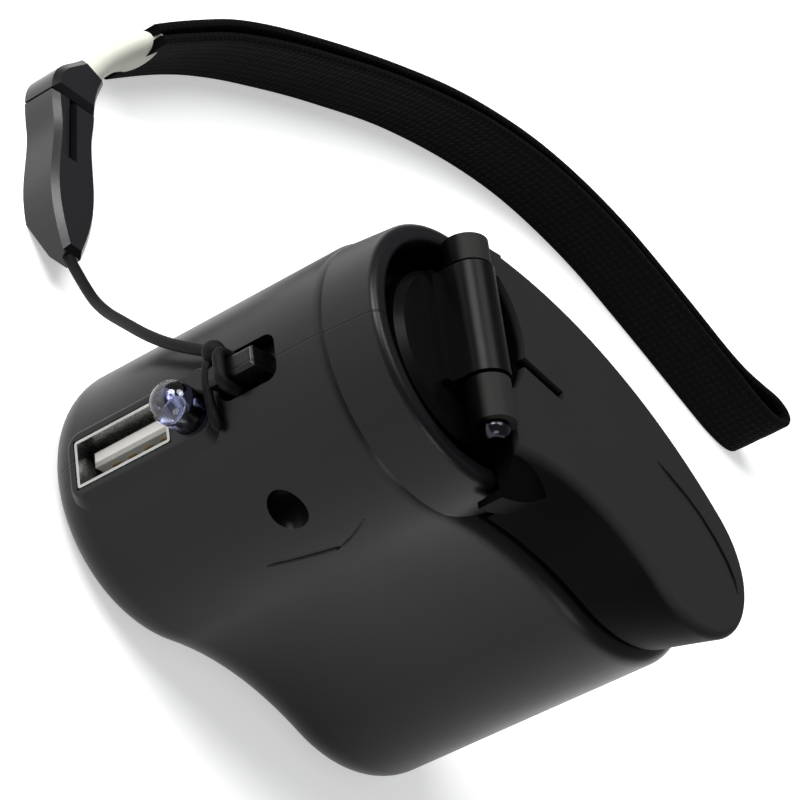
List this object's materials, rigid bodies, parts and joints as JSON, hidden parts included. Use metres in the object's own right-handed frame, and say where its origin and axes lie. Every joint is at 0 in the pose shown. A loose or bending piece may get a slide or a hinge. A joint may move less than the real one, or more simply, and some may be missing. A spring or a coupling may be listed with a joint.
{
  "type": "hand crank phone charger",
  "caption": "Pocket hand-crank generator with a fold-out crank arm and knob, USB port, lamp, gear train inside and a wrist strap with a release buckle.",
  "frame": {"origin": "on the crank's axis, at the flat base the case stands on", "axes": "+Z along the crank's axis towards the hub, +X from the hub towards the arm's free end when it is folded shut, -X out of the USB port"},
  "size_m": [0.1635, 0.1102, 0.0513],
  "materials": {
    "case_black": "fine satin moulding",
    "arm_black": "matt moulding",
    "hub_black": "satin moulding",
    "knob_black": "satin moulding",
    "fastener_steel": "zinc plated",
    "pin_steel": "blackened",
    "port_steel": "bright tin plate",
    "tongue_white": "smooth moulding",
    "contact_brass": "gold flash",
    "board_green": "solder mask",
    "capacitor_blue": "shrink sleeve",
    "coil_grey": "ferrite drum",
    "chip_black": "moulded package",
    "lamp_clear": "clear epoxy",
    "lead_tin": "tinned wire",
    "shaft_steel": "ground",
    "bush_brass": "turned",
    "gear_white": "acetal",
    "plate_grey": "moulding",
    "can_steel": "zinc plated drawn can",
    "cap_plastic": "moulding",
    "magnet_ferrite": "ferrite",
    "rotor_iron": "laminated iron",
    "winding_copper": "enamelled copper",
    "carbon": "carbon",
    "wire_red": "insulation",
    "cord_black": "twisted cord",
    "webbing_black": "woven webbing",
    "buckle_black": "moulding",
    "sleeve_cream": "soft moulding"
  },
  "bodies": {
    "case": {"lower_shell": "case_black", "upper_shell": "case_black", "case_screw": "fastener_steel", "strap_bar": "case_black", "usb_shell": "port_steel", "usb_tongue": "tongue_white", "usb_contacts": "contact_brass", "circuit_board": "board_green", "smoothing_capacitor": "capacitor_blue", "boost_coil": "coil_grey", "board_chips": "chip_black", "lamp_lens": "lamp_clear", "lamp_leads": "lead_tin", "shaft_bush": "bush_brass", "lower_gear_plate": "plate_grey", "upper_gear_plate": "plate_grey", "first_axle": "shaft_steel", "second_axle": "shaft_steel", "plate_posts": "bush_brass", "generator_can": "can_steel", "generator_cap": "cap_plastic", "field_magnets": "magnet_ferrite", "brushes": "carbon", "generator_wires": "wire_red", "strap_string": "cord_black", "string_knot": "cord_black", "buckle_socket": "buckle_black"},
    "hub": {"hub_disc": "hub_black", "crank_shaft": "shaft_steel", "shaft_clip": "fastener_steel", "drive_gear": "gear_white"},
    "arm": {"crank_arm": "arm_black", "hinge_pin": "pin_steel", "knob_pin": "shaft_steel"},
    "yoke": {"knob_yoke": "arm_black", "spindle_screw": "fastener_steel"},
    "knob": {"knob_sleeve": "knob_black"},
    "first_wheel": {"first_idler": "gear_white"},
    "second_wheel": {"second_idler": "gear_white"},
    "rotor": {"rotor_core": "rotor_iron", "rotor_windings": "winding_copper", "commutator": "winding_copper", "rotor_shaft": "shaft_steel", "rotor_pinion": "bush_brass"},
    "strap_end": {"buckle_plug": "buckle_black", "strap_sleeve": "sleeve_cream", "strap_webbing": "webbing_black"}
  },
  "joints": [
    {"name": "crank_spin", "type": "hinge", "parent": "case", "child": "hub", "pos_m": [0, 0, 0.041], "axis": [0, 0, 1], "continuous": true},
    {"name": "arm_fold", "type": "hinge", "parent": "hub", "child": "arm", "pos_m": [-0.0008, 0, 0.0486], "axis": [0, -1, 0], "range_deg": [0, 180]},
    {"name": "knob_flip", "type": "hinge", "parent": "arm", "child": "yoke", "pos_m": [0.0385, -0.011, 0.04485], "axis": [0, -1, 0], "range_deg": [0, 90]},
    {"name": "knob_spin", "type": "hinge", "parent": "yoke", "child": "knob", "pos_m": [0.0385, -0.011, 0.04485], "axis": [1, 0, 0], "continuous": true},
    {"name": "first_wheel_spin", "type": "hinge", "parent": "case", "child": "first_wheel", "pos_m": [0.01399, 0.00049, 0.0322], "axis": [0, 0, 1], "continuous": true},
    {"name": "second_wheel_spin", "type": "hinge", "parent": "case", "child": "second_wheel", "pos_m": [0.02035, -0.00969, 0.0286], "axis": [0, 0, 1], "continuous": true},
    {"name": "rotor_spin", "type": "hinge", "parent": "case", "child": "rotor", "pos_m": [0.03025, -0.0083, 0.017], "axis": [0, 0, 1], "continuous": true},
    {"name": "buckle_release", "type": "slide", "parent": "case", "child": "strap_end", "axis": [0.1219, 0.9925, 0], "range_m": [0, 0.018]}
  ],
  "couplings": [
    {"joint": "knob_flip", "follows": "arm_fold", "ratio": 0.5},
    {"joint": "first_wheel_spin", "follows": "crank_spin", "ratio": -3.6667},
    {"joint": "second_wheel_spin", "follows": "crank_spin", "ratio": 11},
    {"joint": "rotor_spin", "follows": "crank_spin", "ratio": -25.667}
  ]
}
